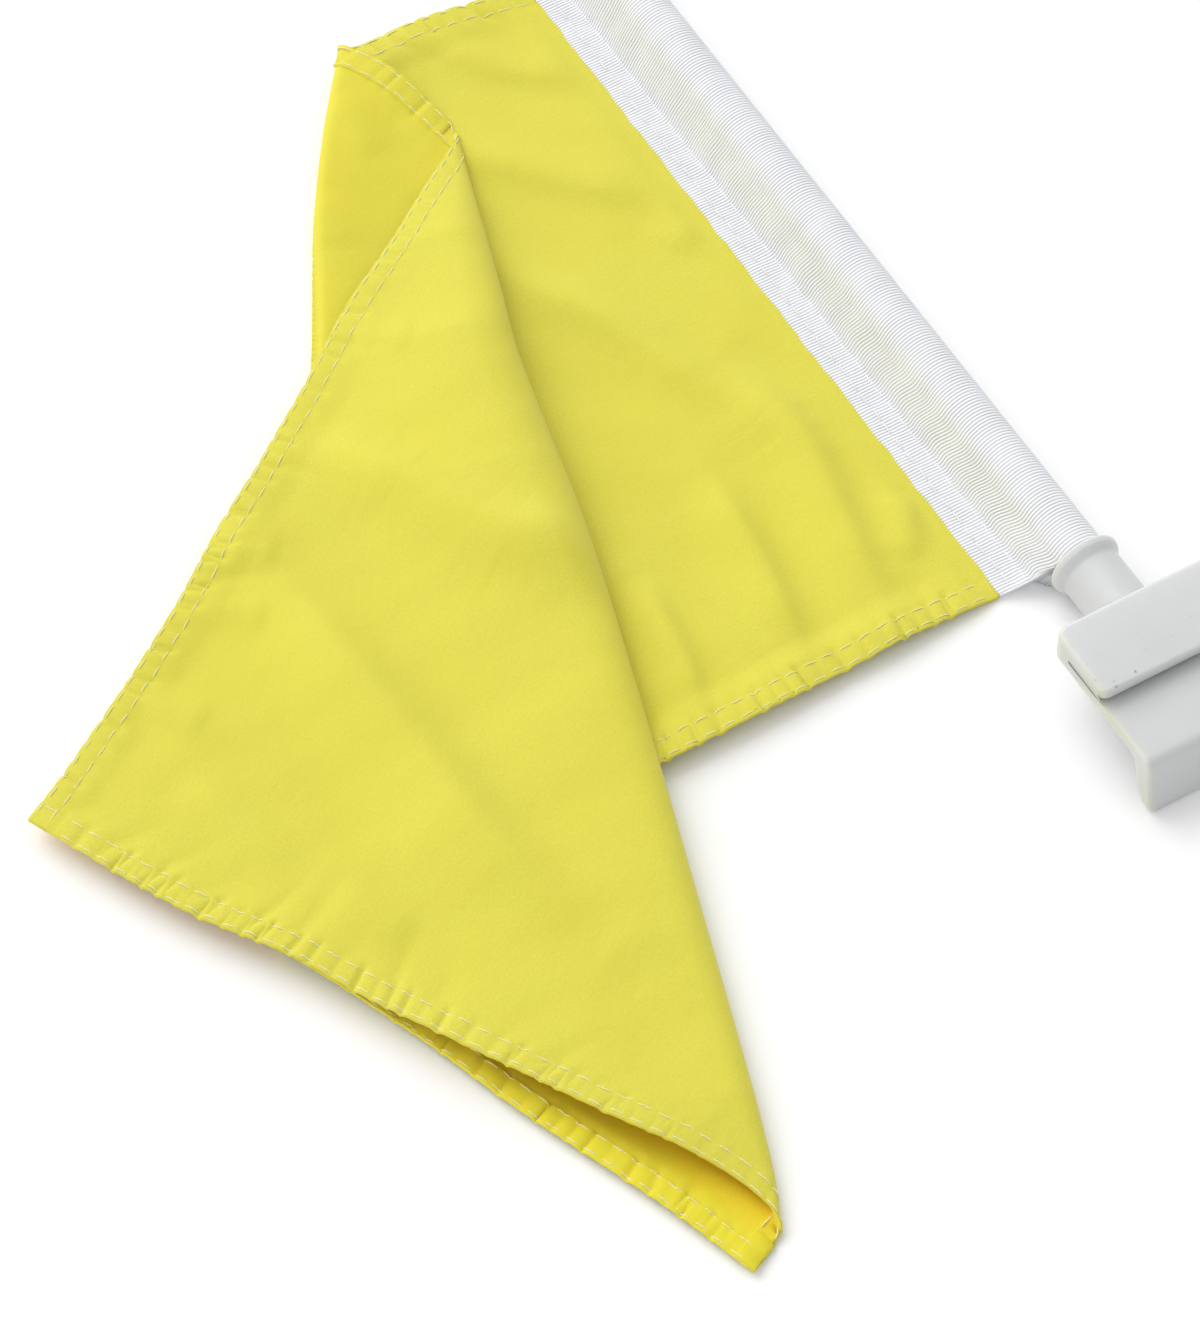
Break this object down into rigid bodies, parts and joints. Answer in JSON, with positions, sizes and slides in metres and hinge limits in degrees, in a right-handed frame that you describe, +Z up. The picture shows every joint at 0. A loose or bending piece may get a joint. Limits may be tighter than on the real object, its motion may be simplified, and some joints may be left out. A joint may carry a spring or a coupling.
{
  "type": "clip-on flag",
  "caption": "Small hemmed flag on a tube pole with a flanged socket and a U-shaped edge clip, stored lying flat with the cloth folded over on itself.",
  "frame": {"origin": "middle of the lip foot of the clip, on the plane the part lies on", "axes": "+X across the clip, away from the flag; +Y along the pole toward its cap; +Z up from the floor"},
  "size_m": [0.2428, 0.3304, 0.0195],
  "materials": {
    "plastic": "moulded white polypropylene, satin",
    "tape": "white ribbed grosgrain tape",
    "cloth": "plain woven yellow polyester",
    "thread": "cream sewing thread"
  },
  "bodies": {
    "clip": {"window_clip": "plastic", "pole_socket": "plastic"},
    "pole": {"pole_tube": "plastic"},
    "flag": {"header_sleeve": "tape", "header_outer_stitching": "thread", "header_inner_stitching": "thread", "flag_panel": "cloth", "top_hem": "cloth", "bottom_hem": "cloth", "fly_hem": "cloth", "top_hem_edge_stitching": "thread", "top_hem_inner_stitching": "thread", "bottom_hem_edge_stitching": "thread", "bottom_hem_inner_stitching": "thread", "fly_hem_edge_stitching": "thread", "fly_hem_inner_stitching": "thread", "upper_corner_stitching": "thread", "lower_corner_stitching": "thread"},
    "cap": {"top_cap": "plastic"}
  },
  "joints": [
    {"name": "pole_plug", "type": "slide", "parent": "clip", "child": "pole", "axis": [0, 1, 0], "range_m": [0, 0.0225]},
    {"name": "flag_swivel", "type": "hinge", "parent": "pole", "child": "flag", "pos_m": [0, 0.1622, 0.00825], "axis": [0, 1, 0], "continuous": true},
    {"name": "cap_pull", "type": "slide", "parent": "pole", "child": "cap", "axis": [0, 1, 0], "range_m": [0, 0.011]}
  ]
}
